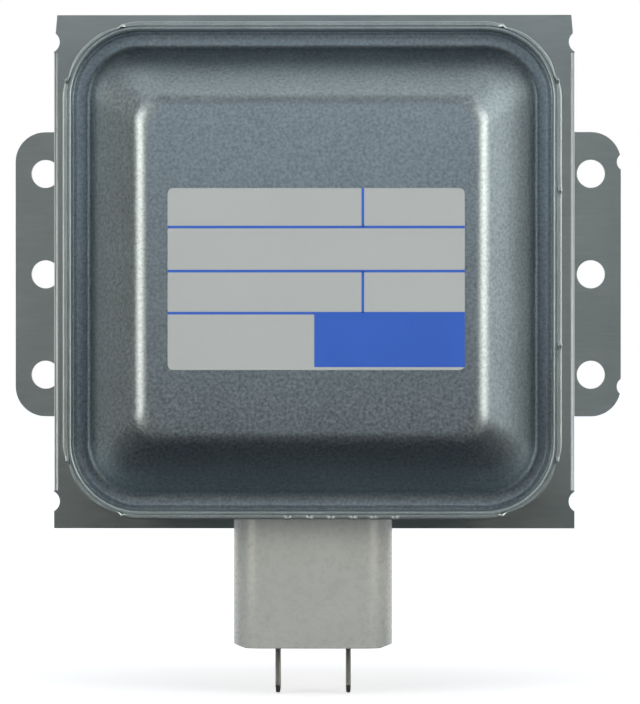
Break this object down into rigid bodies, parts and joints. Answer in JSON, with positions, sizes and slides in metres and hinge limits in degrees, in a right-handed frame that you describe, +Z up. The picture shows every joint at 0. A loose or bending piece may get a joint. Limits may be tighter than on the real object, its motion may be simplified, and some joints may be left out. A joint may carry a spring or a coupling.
{
  "type": "magnetron",
  "caption": "Microwave-oven magnetron with a finned tube in a folded yoke, a lidded filter box with tab terminals, and a mounting plate with screw ears around its antenna.",
  "frame": {"origin": "on the antenna's axis, at the outer face of the mounting plate", "axes": "+Y along the antenna, out of the mounting face; +X to the right of the filter lid as seen from outside; +Z up, away from the terminals"},
  "size_m": [0.1054, 0.1155, 0.1096],
  "materials": {
    "zinc_steel": "zinc-plated sheet steel, satin grey",
    "drawn_steel": "zinc-plated drawn sheet steel",
    "lid_steel": "zinc-plated drawn sheet steel, finely speckled",
    "label_film": "matt silver-grey film with blue rules",
    "ferrite": "ground dark grey ferrite",
    "fin_aluminium": "mill-finish sheet",
    "copper": "plain copper",
    "pole_iron": "nickel-plated soft iron",
    "seal_steel": "plated drawn sheet",
    "alumina": "unglazed white alumina",
    "cap_steel": "polished stainless sheet",
    "gasket_mesh": "knitted wire mesh",
    "cathode_metal": "dull molybdenum and tungsten",
    "housing_plastic": "moulded pale grey thermoset",
    "dielectric": "unglazed barium titanate",
    "tab_plating": "tin-plated steel",
    "enamelled_copper": "enamelled copper wire"
  },
  "bodies": {
    "root": {"mount_plate": "zinc_steel", "yoke_frame": "zinc_steel", "box_rivets": "zinc_steel", "capacitor_plate": "zinc_steel", "filter_box": "drawn_steel", "filter_lid": "lid_steel", "rating_label": "label_film", "output_magnet": "ferrite", "input_magnet": "ferrite", "choke_core_left": "ferrite", "choke_core_right": "ferrite", "cooling_fin_1": "fin_aluminium", "cooling_fin_2": "fin_aluminium", "cooling_fin_3": "fin_aluminium", "cooling_fin_4": "fin_aluminium", "cooling_fin_5": "fin_aluminium", "cooling_fin_6": "fin_aluminium", "anode_shell": "copper", "anode_vane_01": "copper", "anode_vane_02": "copper", "anode_vane_03": "copper", "anode_vane_04": "copper", "anode_vane_05": "copper", "anode_vane_06": "copper", "anode_vane_07": "copper", "anode_vane_08": "copper", "anode_vane_09": "copper", "anode_vane_10": "copper", "inner_strap_output": "copper", "outer_strap_output": "copper", "inner_strap_input": "copper", "outer_strap_input": "copper", "exhaust_tube": "copper", "antenna_rod": "copper", "output_pole_piece": "pole_iron", "input_pole_piece": "pole_iron", "output_sleeve": "seal_steel", "input_sleeve": "seal_steel", "stem_terminal_left": "seal_steel", "stem_terminal_right": "seal_steel", "output_ceramic": "alumina", "cathode_stem": "alumina", "antenna_cap": "cap_steel", "rf_gasket": "gasket_mesh", "centre_lead": "cathode_metal", "side_lead": "cathode_metal", "filament": "cathode_metal", "upper_end_hat": "cathode_metal", "lower_end_hat": "cathode_metal", "connector_housing": "housing_plastic", "capacitor_inner_case": "housing_plastic", "capacitor_ceramic": "dielectric", "terminal_left": "tab_plating", "terminal_right": "tab_plating", "choke_coil_left": "enamelled_copper", "choke_coil_right": "enamelled_copper"}
  },
  "joints": []
}
